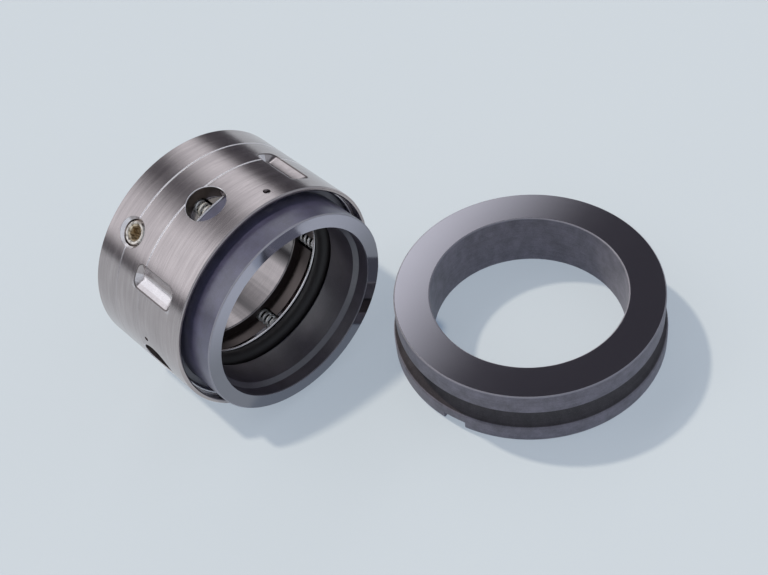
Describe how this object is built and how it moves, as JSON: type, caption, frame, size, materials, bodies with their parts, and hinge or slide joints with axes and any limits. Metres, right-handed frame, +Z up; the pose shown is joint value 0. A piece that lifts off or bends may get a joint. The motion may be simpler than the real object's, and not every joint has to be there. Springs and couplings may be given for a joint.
{
  "type": "component mechanical seal",
  "caption": "Shaft seal in two halves: a spring-loaded rotary unit with set screws and a floating hard face ring, lying beside its flat stationary seat ring.",
  "frame": {"origin": "on the surface that the set lies on, under the middle of the set's outline", "axes": "+Z up; +X along the rotary unit's shaft axis towards its sealing face, so that the shaft leaves the collar towards -X; the seat ring lies face up on the +X +Y side with its own axis along Z"},
  "size_m": [0.1264, 0.1426, 0.074],
  "materials": {
    "brushed_stainless": "satin",
    "bright_stainless": "polished",
    "spring_wire": "polished",
    "silicon_carbide": "satin",
    "black_rubber": "matte"
  },
  "bodies": {
    "fixed_set": {"retainer": "brushed_stainless", "snap_ring": "bright_stainless", "spring_1": "spring_wire", "spring_2": "spring_wire", "spring_3": "spring_wire", "spring_4": "spring_wire", "spring_5": "spring_wire", "spring_6": "spring_wire", "set_screw_1": "bright_stainless", "set_screw_2": "bright_stainless", "set_screw_3": "bright_stainless", "seat_ring": "silicon_carbide"},
    "floating_face": {"face_ring": "silicon_carbide", "thrust_disc": "bright_stainless", "shaft_oring": "black_rubber"}
  },
  "joints": [
    {"name": "face_float", "type": "slide", "parent": "fixed_set", "child": "floating_face", "axis": [-1, 0, 0], "range_m": [0, 0.002], "stiffness_N_per_m": 20000, "springref_m": -0.002, "deforming": ["spring_1", "spring_2", "spring_3", "spring_4", "spring_5", "spring_6"]}
  ]
}
